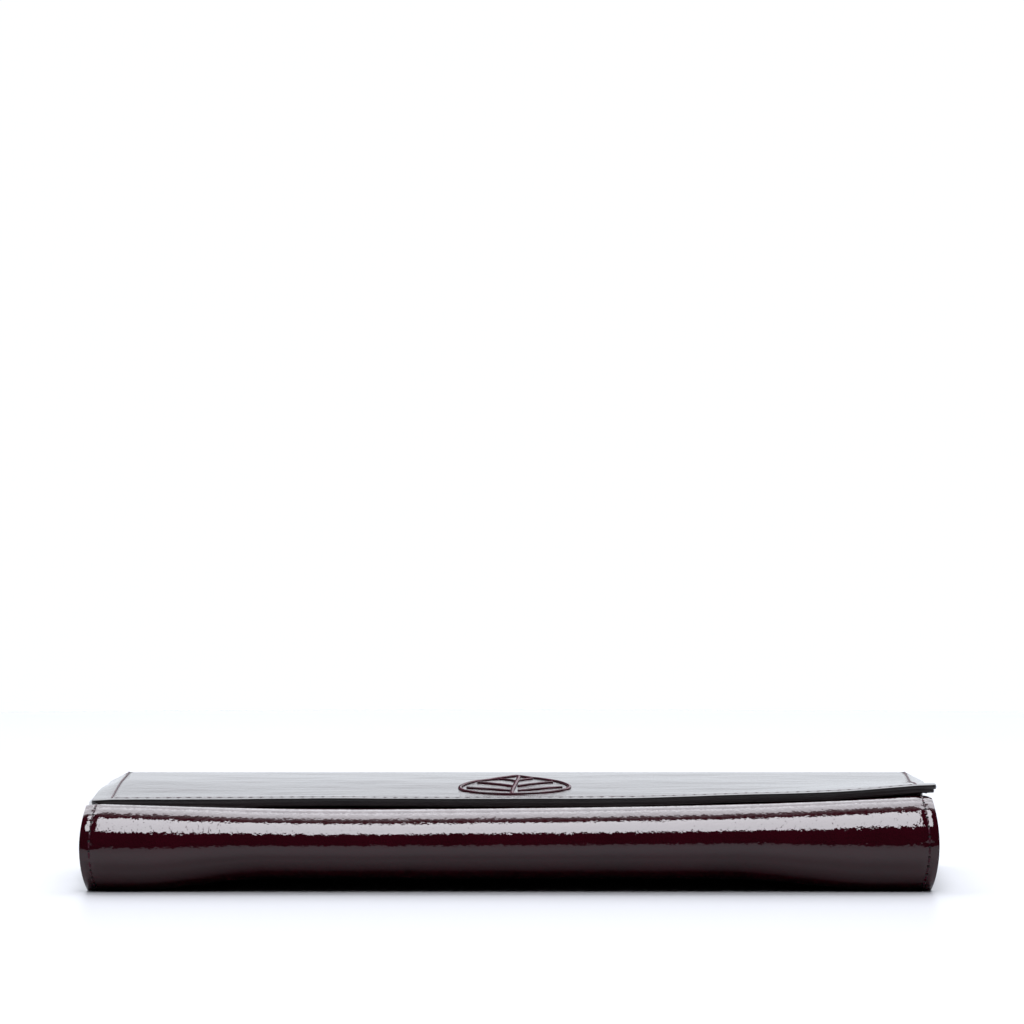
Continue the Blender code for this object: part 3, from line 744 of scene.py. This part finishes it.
def pocketPiece(name, node, side, column):
    # a flat pocket that is open towards the fold, on the back (side 1) or the front (side -1)
    low, high = cornersOf(node)
    depth = high.y - low.y
    x0, x1 = column

    def place(x, v):
        share = (x - x0) / (x1 - x0)
        dip = cardPocket["mouthDip"] * np.sin(np.pi * share) ** 2
        y = low.y + v * (depth - dip) / depth
        puff = cardPocket["puff"] * np.sin(np.pi * share) ** 0.5 * smooth(0, depth, v)
        fromMouth, width, deep = cardPocket["crease"]
        crease = deep * np.exp(-(((depth - v - fromMouth) / width) ** 2))
        level = (high.z if side > 0 else low.z) + side * (puff - crease)
        newX, newY, z = settled(x, y, level)
        return (newX, newY, z) if side > 0 else (newX, newY, z + high.z - low.z)

    rows = np.concatenate((np.linspace(0, depth - 3, 16), np.arange(depth - 2.8, depth + 0.01, 0.2)))
    piece = sheetPiece(name, np.linspace(x0, x1, 40), rows, place, high.z - low.z, liningFinishes)
    if side > 0:
        for edge in (x0 + cardPocket["seamInset"], x1 - cardPocket["seamInset"]):
            pocketLines.append(surfaceLine(place, edge, np.linspace(1.5, depth - 0.5, 20)))
    return piece


pocketHalf = cornersOf("card_pocket_rear_row")[1].x
columns = {"Left": (-pocketHalf, -cardPocket["divide"]), "Right": (cardPocket["divide"], pocketHalf)}
for row in ("rear", "middle", "front"):
    node = f"card_pocket_{row}_row"
    for columnName, column in columns.items():
        piece = pocketPiece(f"cardPocket{row.capitalize()}{columnName}", node, 1, column)
        fitted(piece, "body", "lining_leather", node)
slipPocket = pocketPiece("slipPocket", "front_slip_pocket", -1, (-pocketHalf, pocketHalf))
bending(slipPocket, *frontBend, "lining_leather", "front_slip_pocket")
fitted(
    stitchRows("cardPocketStitches", pocketLines, [blackThread, needleHoleShade], **fineStitching),
    "body", "lining_leather",
)

print("folding the gussets")
gusset = {
    "leather": 0.6,
    "pleat": 2.2,
    "inset": 4.3,  # from the wallet's side to the web
    "flange": 0.13,  # share of the width sewn to the back, and to the front
    "flangeGap": 1.25,
    "crumple": 0.18,
    "width": 26,  # of the flat leather, and its length round the roll
    "turn": 6,
}
webX = halfWidth - gusset["inset"]


def gussetProfile(w):
    # w runs from 0 at the back flange's edge to 1 at the front flange's edge
    reach = rollRadius - gusset["flangeGap"]
    flange = gusset["flange"]
    inWeb = np.clip((w - flange) / (1 - 2 * flange), 0, 1)
    share = 1 - 2 * inWeb
    inset = gusset["pleat"] * (1 - smooth(0.22, 0.85, np.abs(share)))
    flangeShare = np.clip(np.minimum(w, 1 - w) / flange, 0, 1)
    x = webX - inset + (halfWidth - 0.25 - webX) * (1 - smooth(0, 1, flangeShare) ** 0.7)
    return x, share * reach  # share 1 is at the back, -1 at the front


def gussetSidePlace(side):
    def place(w, v):
        x, offset = gussetProfile(w)
        crumple = gusset["crumple"] * uneven(w * 8, v, 5.5, 4.4) * smooth(0, 0.2, w) * (1 - smooth(0.8, 1, w))
        return settled(side * (x + crumple), rollY - 2 + v, rollRadius - offset)
    return place


def gussetEndPlace(side):
    def place(w, v):  # v is the turn round the roll
        x, offset = gussetProfile(w)
        return settled(side * x, rollY - np.abs(offset) * np.sin(v), rollRadius - np.abs(offset) * np.cos(v))
    return place


gussetShares = np.concatenate(
    (np.linspace(0, gusset["flange"], 7), np.linspace(0.15, 0.85, 29), np.linspace(0.87, 1, 7))
)
for name, side in (("left", -1), ("right", 1)):
    order = gussetShares if side < 0 else gussetShares[::-1]
    web = sheetPiece(
        f"{name}GussetWeb", order, np.linspace(0, mouthY - rollY + 2, 56), gussetSidePlace(side),
        gusset["leather"], coverFinishes, bulge=0.1, lengths=(gusset["width"], 1),
    )
    bending(web, "body", "front", (0, 2.0), (0, height - 2.5), "patent_leather", f"{name}_gusset")
    half = np.linspace(0, 0.5, 22)[::side]
    end = sheetPiece(
        f"{name}GussetEnd", half, np.linspace(0, math.pi, 30), gussetEndPlace(side), gusset["leather"],
        coverFinishes, bulge=0.1, lengths=(gusset["width"], gusset["turn"]),
    )
    fitted(end, "body", "patent_leather", f"{name}_gusset")

print("making the coin pocket")
coinPocket = {
    "puff": 0.25,
    "seams": (1.6, 4.4),  # from the mouth
    "leather": 0.45,
    "sideFold": 1.1,  # how far the folded edges go in
    "bottomFold": 0.9,
}
coinLow, coinHigh = cornersOf("coin_pocket_rear_wall")
coinTop = cornersOf("coin_pocket_front_wall")[1].z
coinDepth = coinHigh.y - coinLow.y


def coinWallPlace(level, side):
    def place(x, v):
        share = np.clip((x - coinLow.x) / (coinHigh.x - coinLow.x), 0, 1)
        puff = coinPocket["puff"] * np.sin(np.pi * share) ** 0.7
        puff = puff * np.sin(np.pi * np.clip(v / coinDepth, 0, 1))
        return x, coinLow.y + v + 0 * x, level - side * puff + 0 * x
    return place


for name, level, side in (("Rear", coinHigh.z, -1), ("Front", coinTop, 1)):
    piece = sheetPiece(
        f"coinPocket{name}", np.linspace(coinLow.x, coinHigh.x, 70), np.linspace(0, coinDepth, 36),
        coinWallPlace(level, side), coinHigh.z - coinLow.z, liningFinishes,
    )
    fitted(piece, "coin_pocket", "lining_leather", f"coin_pocket_{name.lower()}_wall")
seamX = np.linspace(coinLow.x + 2, coinHigh.x - 2, 60)
coinLines = [
    surfaceLine(coinWallPlace(coinTop, 1), seamX, coinDepth - fromMouth) for fromMouth in coinPocket["seams"]
]
fitted(
    stitchRows("coinPocketStitches", coinLines, [blackThread, needleHoleShade], **fineStitching),
    "coin_pocket", "lining_leather",
)

for name, side in (("Left", -1), ("Right", 1)):
    node = f"coin_pocket_{name.lower()}_edge"
    low, high = cornersOf(node)

    def edgePlace(z, v):
        fold = coinPocket["sideFold"] * np.cos(np.pi * (z - low.z) / (high.z - low.z) - np.pi / 2)
        return (low.x if side < 0 else high.x) - side * fold + 0 * v, low.y + v, z + 0 * v

    piece = sheetPiece(
        f"coinPocketFold{name}", np.linspace(low.z, high.z, 13)[::-side], np.linspace(0, high.y - low.y, 30),
        edgePlace, coinPocket["leather"], liningFinishes,
    )
    fitted(piece, "coin_pocket", "lining_leather", node)

bottomLow, bottomHigh = cornersOf("coin_pocket_bottom_edge")


def bottomPlace(x, w):
    fold = coinPocket["bottomFold"]
    bow = fold * np.sin(np.pi * w)
    return x, bottomLow.y + fold - bow + 0 * x, bottomLow.z + (bottomHigh.z - bottomLow.z) * w + 0 * x


piece = sheetPiece(
    "coinPocketFoldBottom", np.linspace(bottomLow.x, bottomHigh.x, 60), np.linspace(0, 1, 11), bottomPlace,
    coinPocket["leather"], liningFinishes, lengths=(1, bottomHigh.z - bottomLow.z),
)
fitted(piece, "coin_pocket", "lining_leather", "coin_pocket_bottom_edge")

print("setting the zip")
zipTeeth = {"pitch": 1.5, "thick": 0.68, "head": 0.25, "bevel": 0.14, "shift": 0.25}
zipEdges = {"slider": 0.18, "stop": 0.3}  # how far the metal's edges are eased


def toothRow(name, side):
    node = f"zip_teeth_{name.lower()}"
    low, high = cornersOf(node)
    count = int((high.x - low.x) / zipTeeth["pitch"])
    shape = bmesh.new()
    bmesh.ops.create_cube(shape, size=1.0)
    bmesh.ops.bevel(
        shape, geom=shape.edges[:], offset=zipTeeth["bevel"], segments=2, profile=0.6, affect="EDGES"
    )
    base = np.array([v.co for v in shape.verts])
    baseFaces = [[v.index for v in f.verts] for f in shape.faces]
    shape.free()
    head = 1 + zipTeeth["head"] * np.clip(-side * base[:, 2:3] * 2, -1, 1)
    points, faces = [], []
    for i in range(count):
        x = low.x + (i + 0.5 + side * zipTeeth["shift"]) * zipTeeth["pitch"]
        tooth = base * (zipTeeth["thick"], high.y - low.y, high.z - low.z)
        tooth[:, :1] *= head
        tooth = tooth + (x, (low.y + high.y) / 2, (low.z + high.z) / 2)
        faces += [[k + i * len(base) for k in face] for face in baseFaces]
        points.append(tooth)
    piece = newPiece(f"zipTeeth{name}", np.concatenate(points), faces, [goldMetal])
    fitted(piece, "coin_pocket", "gold_metal", node)


toothRow("Rear", -1)
toothRow("Front", 1)


def softenedCopy(name, node, body, width):  # a CAD piece with its edges eased
    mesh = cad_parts[node].data.copy()
    mesh.name = name
    shape = bmesh.new()
    shape.from_mesh(mesh)
    bmesh.ops.remove_doubles(shape, verts=shape.verts, dist=0.000002)
    bmesh.ops.dissolve_limit(shape, angle_limit=0.02, verts=shape.verts, edges=shape.edges)
    sharpEdges = [e for e in shape.edges if len(e.link_faces) == 2 and e.calc_face_angle(0) > 0.5]
    bmesh.ops.bevel(
        shape, geom=sharpEdges, offset=width * mm, segments=3, profile=0.5, affect="EDGES",
        clamp_overlap=True,
    )
    shape.to_mesh(mesh)
    shape.free()
    mesh.materials.clear()
    mesh.materials.append(goldMetal)
    mesh.shade_smooth()
    mesh.set_sharp_from_angle(angle=math.radians(35))
    fitted(placed(name, mesh), body, "gold_metal", node)


softenedCopy("zipSlider", "zip_slider", "slider", zipEdges["slider"])
softenedCopy("zipTopStop", "zip_top_stop", "coin_pocket", zipEdges["stop"])
softenedCopy("zipBottomStop", "zip_bottom_stop", "coin_pocket", zipEdges["stop"])

for node in ("zip_tape_rear", "zip_tape_front"):
    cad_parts[node].material_slots[0].material = zipTapeObject
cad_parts["zip_puller_link"].material_slots[0].material = goldMetal

tabLow, tabHigh = cornersOf("zip_puller_tab")
puller = {
    "neck": 2.8,
    "neckHalf": 1.1,
    "shoulder": 0.8,  # half the length over which it widens
    "tip": (1.6, 0.3),  # length of the rounded end and its narrowing
    "dome": 0.12,
    "seam": 0.68,  # share of the half width
}


def tabPlace(x, w):
    middle = (tabLow.z + tabHigh.z) / 2
    half = (tabHigh.z - tabLow.z) / 2
    tip, narrowing = puller["tip"]
    fromEnd = np.clip((x - tabHigh.x + tip) / tip, 0, 1)
    neckEnd = tabLow.x + puller["neck"]
    shoulder = smooth(neckEnd - puller["shoulder"], neckEnd + puller["shoulder"], x)
    widthHere = (puller["neckHalf"] + (half - puller["neckHalf"]) * shoulder) * (1 - narrowing * fromEnd**2)
    dome = puller["dome"] * (1 - w**4)
    return x, tabLow.y + puller["dome"] - dome, middle + widthHere * w


tabPiece = sheetPiece(
    "zipPullerTab", np.linspace(tabLow.x + 0.3, tabHigh.x, 46), np.linspace(-1, 1, 19), tabPlace,
    tabHigh.y - tabLow.y - 0.15, (burgundyPatent, burgundyPatent, edgePaint),
    lengths=(1, (tabHigh.z - tabLow.z) / 2),
)
fitted(tabPiece, "puller", "patent_leather", "zip_puller_tab")
threads = [silkThread, needleHoleShade]
tabSeamX = np.linspace(tabLow.x + puller["neck"] + 1.2, tabHigh.x - 1.3, 12)
tabLines = [surfaceLine(tabPlace, tabSeamX, side * puller["seam"]) for side in (-1, 1)]
fitted(stitchRows("pullerTabStitches", tabLines, threads, **tabStitching), "puller", "patent_leather")

print("setting the press stud")
studLow, studHigh = cornersOf("snap_stud")
studY = (studLow.y + studHigh.y) / 2
studX = np.array([0.0])
frontLevel = float(frontTop(studX, np.array([studY]))[0])
flapLevel = float(flapTop(studX, np.array([studY]))[0]) - flapDepth
snap = {  # radii, and heights over the leather that each half is set in
    "flange": 5.4,
    "flangeHeight": 0.3,
    "nipple": 1.9,
    "nippleHeight": 1.55,
    "stem": 1.2,
    "washer": (1.35, 4.8),
    "barrel": 3.6,
    "barrelHeight": 1.35,
    "mouth": 2.2,
    "socketDepth": 0.25,
    "socketWasher": (3.75, 5.6),
}


def rounded(radius, z, r):  # a rounded corner at (radius, z), from its top to its side
    turn = np.linspace(0, math.pi / 2, 6)
    return [(radius - r + r * math.sin(a), z - (r - r * math.cos(a))) for a in turn]


def snapPiece(name, profile, body, node):
    fitted(turnedPiece(name, profile, (0, studY), goldMetal), body, "gold_metal", node)


nipple, stem, flange = snap["nipple"], snap["stem"], snap["flange"]
nippleTop = frontLevel + snap["nippleHeight"]
flangeTop = frontLevel + snap["flangeHeight"]
snapPiece(
    "pressStud",
    [(0, nippleTop)] + rounded(nipple, nippleTop, 0.5)
    + [(nipple - 0.25, frontLevel + 0.55), (nipple + 0.5, flangeTop)] + rounded(flange, flangeTop, 0.2)
    + [(flange, frontLevel - 0.05), (stem, frontLevel - 0.05)]
    + [(stem, frontLevel - 1.1), (0, frontLevel - 1.1)],
    "front", "snap_stud",
)
hole, washer = snap["washer"]
snapPiece(
    "pressStudWasher",
    [(hole, frontLevel - 1.0)] + rounded(washer, frontLevel - 1.0, 0.12)
    + [(washer, frontLevel - 1.25), (hole, frontLevel - 1.25), (hole, frontLevel - 1.0)],
    "front", "snap_stud_washer",
)
barrel, mouth = snap["barrel"], snap["mouth"]
barrelTop = flapLevel + snap["barrelHeight"]
under = flapLevel - snap["socketDepth"]
snapPiece(
    "pressStudSocket",
    [(0, barrelTop), (barrel, barrelTop), (barrel, flapLevel + 0.02), (flange - 0.2, flapLevel + 0.02)]
    + [(flange, flapLevel - 0.08), (flange - 0.25, under), (3.1, under), (2.75, under + 0.12), (2.3, under)]
    + [(mouth, under + 0.1), (mouth, flapLevel + 1.15), (0, flapLevel + 1.15)],
    "flap", "snap_socket",
)
hole, washer = snap["socketWasher"]
snapPiece(
    "pressStudSocketWasher",
    [(hole, flapLevel + 0.95), (washer, flapLevel + 0.95), (washer, flapLevel + 0.65)]
    + [(hole, flapLevel + 0.65), (hole, flapLevel + 0.95)],
    "flap", "snap_socket_washer",
)

print("running the stitching")
flapSeamX = halfFlap - flapCover["sideSeam"]
flapSeamV = np.linspace(flapCover["frontSeam"], stretches["flap"], 90)
flapLines = bothSides(flapPlace, flapSeamX, flapSeamV)
frontSeamX = np.linspace(-flapSeamX, flapSeamX, 220)
flapLines.append(surfaceLine(flapPlace, frontSeamX, flapCover["frontSeam"]))
fitted(stitchRows("flapStitches", flapLines, threads, **stitching), "flap", "patent_leather")

for half, low, high, bend in spineHalves:
    vs = np.linspace(low + 0.3, high - 0.3, 30)
    lines = bothSides(spinePlace, flapSeamX, vs)
    bending(stitchRows(f"spineStitches{half}", lines, threads, **stitching), *bend, "patent_leather")

bodySeamX = halfWidth - wallet["seamInset"]
bodyLines = bothSides(bodyPlace, bodySeamX, bodyRows(2, 60, 60))
fitted(stitchRows("bodyStitches", bodyLines, threads, **stitching), "body", "patent_leather")
frontSeamV = np.linspace(0.5, stretches["front"] - 2.2, 60)
frontLines = bothSides(frontPlace, bodySeamX, frontSeamV)
frontLines.append(surfaceLine(frontPlace, np.linspace(-bodySeamX, bodySeamX, 120), stretches["front"] - 2.2))
bending(stitchRows("frontPanelStitches", frontLines, threads, **stitching), *frontBend, "patent_leather")

print("working the motif")
motif = {  # a leaf in satin stitch over cord
    "cord": 0.2,
    "satin": {"pitch": 0.44, "length": 1.0, "width": 0.32, "slant": math.radians(58), "rise": 0.8},
    "margin": 0.8,
    "veins": 3,
    "veinRise": 11,  # how far a vein goes towards the leaf's tip
    "veinStarts": (-0.72, 0.46),  # first place and spacing, in shares of half the leaf
    "stemWave": (0.5, 14),
}
motifLow, motifHigh = cornersOf("flap_motif")
motifHalf = (motifHigh.x - motifLow.x) / 2
motifLength = (motifHigh.y - motifLow.y) / 2
motifY = (motifLow.y + motifHigh.y) / 2


def leafX(angle):
    return (motifHalf - motif["margin"]) * np.sin(angle) * (0.5 + 0.5 * np.cos(angle)) ** 0.6 / 0.74


def leafLine(xs, ys):
    return surfaceLine(flapPlace, xs, ys - flapNear)


leafTurn = np.linspace(0.0, math.pi, 60)
leafY = motifY - (motifLength - motif["margin"]) * np.cos(leafTurn)
motifLines = bothSides(flapPlace, leafX(leafTurn), leafY - flapNear)
stemY = np.linspace(motifY - motifLength + 1, motifY + motifLength - 3, 40)
sway, swayLength = motif["stemWave"]
motifLines.append(leafLine(sway * np.sin(stemY / swayLength), stemY))
firstVein, veinSpacing = motif["veinStarts"]
rise = motif["veinRise"]
for k in range(motif["veins"]):
    base = motifY + motifLength * (firstVein + veinSpacing * k)
    turn = math.acos(np.clip(-(base + rise - motifY) / motifLength, -1, 1))
    reach = float(leafX(turn)) - 1.6
    for side in (-1, 1):
        t = np.linspace(0.08, 1, 14)
        motifLines.append(leafLine(side * reach * t, base + rise * t**0.8))


def cordPiece(name, lines, radius, finish, sides=8):
    points, faces = [], []
    total = 0
    for line, normals in lines:
        ahead = unit(np.gradient(line, axis=0))
        cross = unit(np.cross(normals, ahead))
        rings = []
        for k in range(sides):
            a = 2 * math.pi * k / sides
            rings.append(line + radius * (math.cos(a) * cross + (0.3 + 0.8 * math.sin(a)) * normals))
        ring = np.stack(rings, 1)
        points.append(ring.reshape(-1, 3))
        faces += [(a, d, c, b) for a, b, c, d in ringQuads(len(line), sides, total)]
        faces.append(tuple(total + k for k in reversed(range(sides))))
        faces.append(tuple(total + (len(line) - 1) * sides + k for k in range(sides)))
        total += len(line) * sides
    return newPiece(name, np.concatenate(points), faces, [finish])


fitted(cordPiece("leafCord", motifLines, motif["cord"], motifThread), "flap", "patent_leather", "flap_motif")
satin = stitchRows("leafSatinStitch", motifLines, [motifThread], **motif["satin"], shadedHoles=False)
fitted(satin, "flap", "patent_leather", "flap_motif")

print("setting the stage")
studio = {
    "cameraDistance": 2.2,  # from the roll's face, in metres
    "cameraHeight": 0.1455,
    "cameraSide": 0.0006,
    "pitch": 1.595,
    "lens": 350.9,
    "floorRadius": 800,
    "floorColor": (0.51, 0.52, 0.535),
    "floorTones": ((0.505, 0.515, 0.53), (0.515, 0.525, 0.54)),
    "backdropColor": (1.0, 1.05, 1.11, 1),
    "backdropFade": (-0.05, 0.25),  # from the camera's side to the far side
    "backdropStrength": (0.03, 0.87),
    "lampColor": (0.98, 0.98, 1.04),
    "lamps": (  # elevation, distance, size along X, size across and radiance
        ("overheadSoftbox", 115, 1.6, 1.4, 0.72, 5.4),
        ("rearSoftbox", 141, 1.6, 1.4, 0.8, 2.4),
        ("frontSoftbox", 64, 2.4, 0.78, 1.72, 13.0),
    ),
}
cameraData = bpy.data.cameras.new("camera")
cameraData.lens = studio["lens"]
cameraData.sensor_width = 36
cameraData.clip_start = 0.1
camera = placed("camera", cameraData)
camera.location = (
    studio["cameraSide"], rollLow.y * mm - studio["cameraDistance"], studio["cameraHeight"]
)
camera.rotation_euler = (math.radians(90 - studio["pitch"]), 0, 0)
bpy.context.scene.camera = camera

floorFinish, floorTree, floorShader = newFinish(
    "paleFloor", studio["floorColor"], Roughness=0.7, Coat_Weight=0.9, Coat_Roughness=0.35, Coat_IOR=1.2
)
floorPlace = placeOf(floorTree, "object")
colorBetween(floorTree, noiseOf(floorTree, floorPlace, 3, 2), *studio["floorTones"], floorShader)
radius = studio["floorRadius"]
floorRim = [(radius * math.cos(a), radius * math.sin(a), 0) for a in np.linspace(0, 2 * math.pi, 97)[:-1]]
floor = newPiece("floor", floorRim, [tuple(range(len(floorRim)))], [floorFinish])


def softbox(name, elevation, distance, sizeX, sizeY, radiance):
    # elevation goes up from the camera's side
    angle = math.radians(elevation)
    data = bpy.data.lights.new(name, "AREA")
    data.shape = "RECTANGLE"
    data.size = sizeX
    data.size_y = sizeY
    data.energy = radiance * math.pi * sizeX * sizeY
    data.color = studio["lampColor"]
    light = placed(name, data)
    light.location = (0, -distance * math.cos(angle), distance * math.sin(angle))
    light.rotation_euler = (math.pi / 2 - angle, 0, 0)


for lamp in studio["lamps"]:
    softbox(*lamp)

world = bpy.data.worlds.new("studioWorld")
bpy.context.scene.world = world
world.use_nodes = True
worldTree = world.node_tree
backdrop = worldTree.nodes["Background"]
backdrop.inputs["Color"].default_value = studio["backdropColor"]
direction = addNode(worldTree, "ShaderNodeTexCoord").outputs["Generated"]
split = addNode(worldTree, "ShaderNodeSeparateXYZ")
worldTree.links.new(direction, split.inputs[0])
nearY, farY = studio["backdropFade"]
weak, strong = studio["backdropStrength"]
behind = addNode(
    worldTree, "ShaderNodeMapRange", interpolation_type="SMOOTHSTEP", From_Min=nearY, From_Max=farY,
    To_Min=weak, To_Max=strong,
)
worldTree.links.new(split.outputs["Y"], behind.inputs["Value"])
rays = addNode(worldTree, "ShaderNodeLightPath")
seen = addNode(worldTree, "ShaderNodeMath", operation="MAXIMUM")
worldTree.links.new(behind.outputs["Result"], seen.inputs[0])
worldTree.links.new(rays.outputs["Is Camera Ray"], seen.inputs[1])
worldTree.links.new(seen.outputs["Value"], backdrop.inputs["Strength"])
bpy.context.scene.view_settings.view_transform = "Standard"

print("finished")
